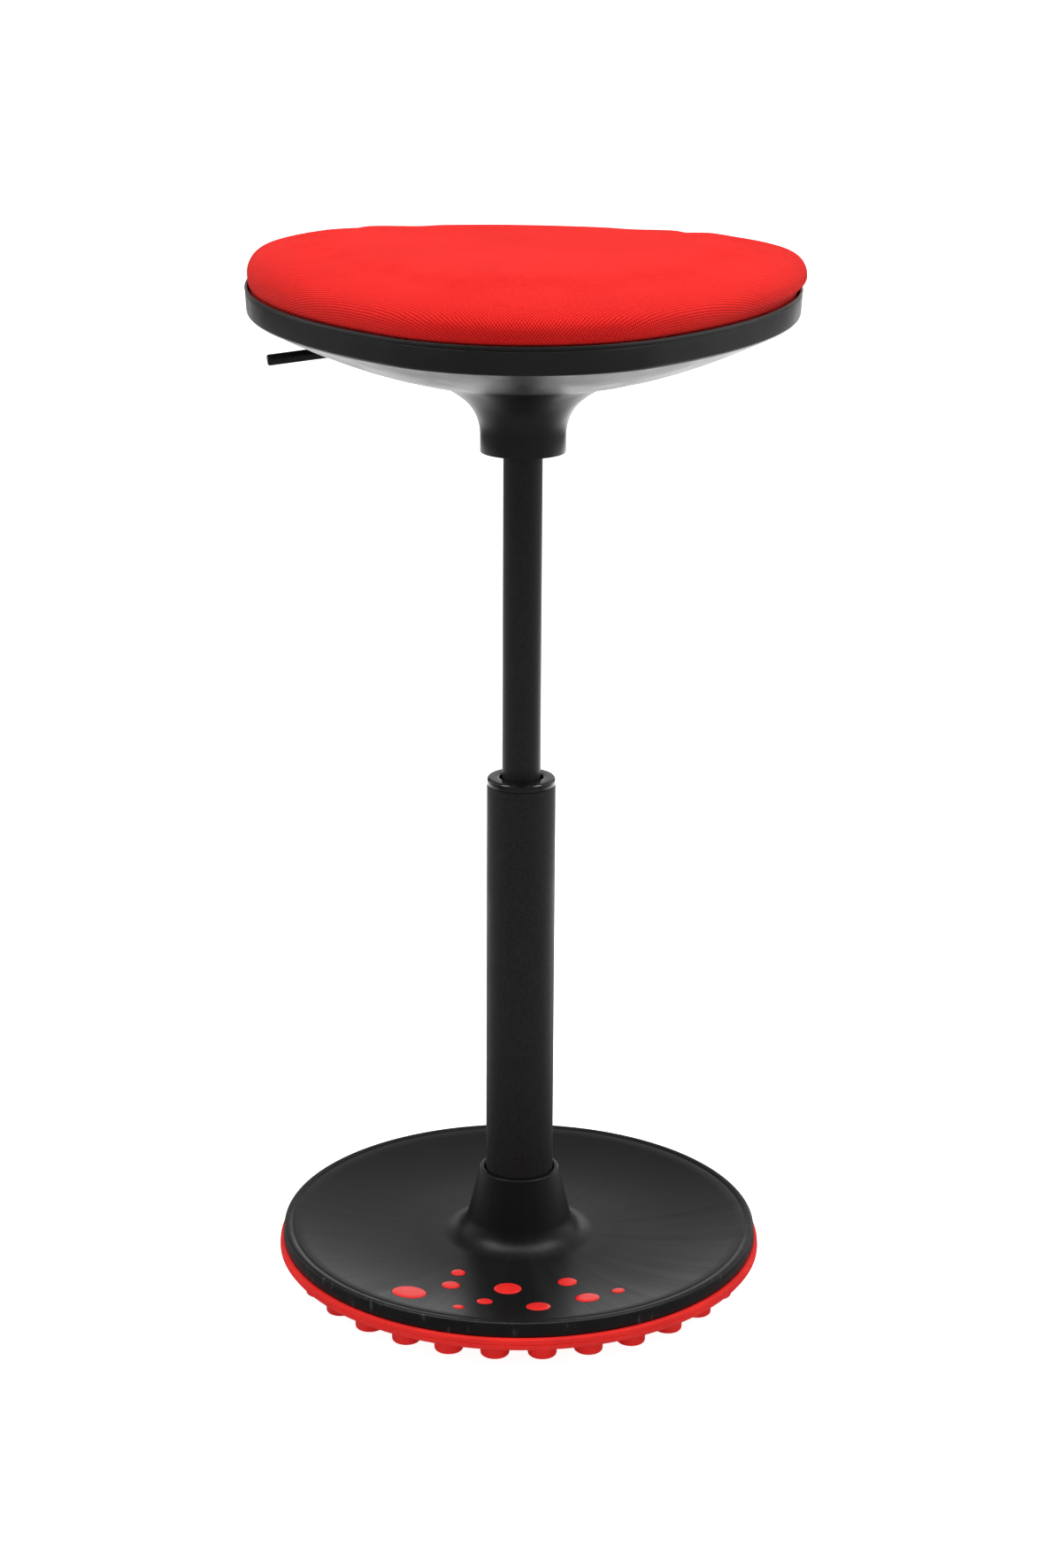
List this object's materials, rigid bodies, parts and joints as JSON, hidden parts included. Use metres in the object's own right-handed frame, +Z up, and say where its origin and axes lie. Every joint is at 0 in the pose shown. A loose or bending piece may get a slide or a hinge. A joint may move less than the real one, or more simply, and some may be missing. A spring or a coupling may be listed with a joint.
{
  "type": "office stool",
  "caption": "Height-adjustable perching stool with a rounded triangular upholstered seat, gas-lift column, release lever and weighted disc base on a domed studded rubber sole.",
  "frame": {"origin": "on the floor, on the column's axis, at the bottom face of the middle stud of the sole", "axes": "+Z up along the column; the seat's nose and the base's inlay dots face -Y; the release lever points to -X"},
  "size_m": [0.4036, 0.4063, 0.773],
  "materials": {
    "sole_rubber": "matt moulded red rubber",
    "shell_plastic": "satin black moulding with a fine grain",
    "inlay_plastic": "satin red moulding",
    "ballast_iron": "rough cast",
    "bracket_steel": "black paint",
    "fastener_steel": "zinc plated",
    "column_coat": "fine-textured black powder coat",
    "collar_gloss": "gloss black",
    "bush_plastic": "dark acetal",
    "bearing_steel": "ground",
    "cage_brass": "pressed",
    "buffer_rubber": "matt",
    "rod_chrome": "hard chrome",
    "piston_plastic": "turned",
    "gas_tube_coat": "satin charcoal coat",
    "cylinder_aluminium": "drawn",
    "pan_plastic": "satin black moulding, glossier lip",
    "lever_coat": "semi-gloss black coat",
    "board_plywood": "raw plywood",
    "clip_nylon": "natural nylon",
    "seat_foam": "moulded foam",
    "cover_fabric": "woven red upholstery fabric"
  },
  "bodies": {
    "base": {"rubber_sole": "sole_rubber", "base_shell": "shell_plastic", "inlay_dots": "inlay_plastic", "ballast_plate": "ballast_iron", "column_socket": "bracket_steel", "flange_bolts": "fastener_steel", "shell_screws": "fastener_steel", "column_tube": "column_coat", "column_collar": "collar_gloss", "guide_bush": "bush_plastic", "lower_race": "bearing_steel"},
    "ball_cage": {"bearing_cage": "cage_brass", "bearing_balls": "bearing_steel"},
    "rod": {"upper_race": "bearing_steel", "rubber_buffer": "buffer_rubber", "piston_rod": "rod_chrome", "piston": "piston_plastic", "piston_nut": "fastener_steel", "rod_clip": "fastener_steel"},
    "seat": {"pressure_tube": "gas_tube_coat", "inner_cylinder": "cylinder_aluminium", "rod_guide": "bush_plastic", "valve_body": "cylinder_aluminium", "seat_bracket": "bracket_steel", "bracket_bolts": "fastener_steel", "tee_nuts": "fastener_steel", "pivot_pin": "rod_chrome", "seat_pan": "pan_plastic", "seat_board": "board_plywood", "board_clips": "clip_nylon", "seat_foam": "seat_foam", "seat_cover": "cover_fabric"},
    "lever": {"lever_rocker": "bracket_steel", "lever_rod": "lever_coat"},
    "valve": {"valve_pin": "rod_chrome"}
  },
  "joints": [
    {"name": "seat_swivel", "type": "hinge", "parent": "base", "child": "rod", "pos_m": [0, 0, 0.043], "axis": [0, 0, 1], "continuous": true},
    {"name": "cage_spin", "type": "hinge", "parent": "base", "child": "ball_cage", "pos_m": [0, 0, 0.038], "axis": [0, 0, 1], "continuous": true},
    {"name": "seat_lift", "type": "slide", "parent": "rod", "child": "seat", "axis": [0, 0, 1], "range_m": [-0.235, 0]},
    {"name": "lever_lift", "type": "hinge", "parent": "seat", "child": "lever", "pos_m": [-0.03484, 0.00907, 0.7095], "axis": [0.252, 0.9677, 0], "range_deg": [0, 3.5], "stiffness_Nm_per_rad": 8, "springref_deg": -5.73},
    {"name": "valve_press", "type": "slide", "parent": "seat", "child": "valve", "axis": [0, 0, -1], "range_m": [0, 0.0022]}
  ],
  "couplings": [
    {"joint": "cage_spin", "follows": "seat_swivel", "ratio": 0.5},
    {"joint": "valve_press", "follows": "lever_lift", "m_per_rad": 0.036}
  ]
}
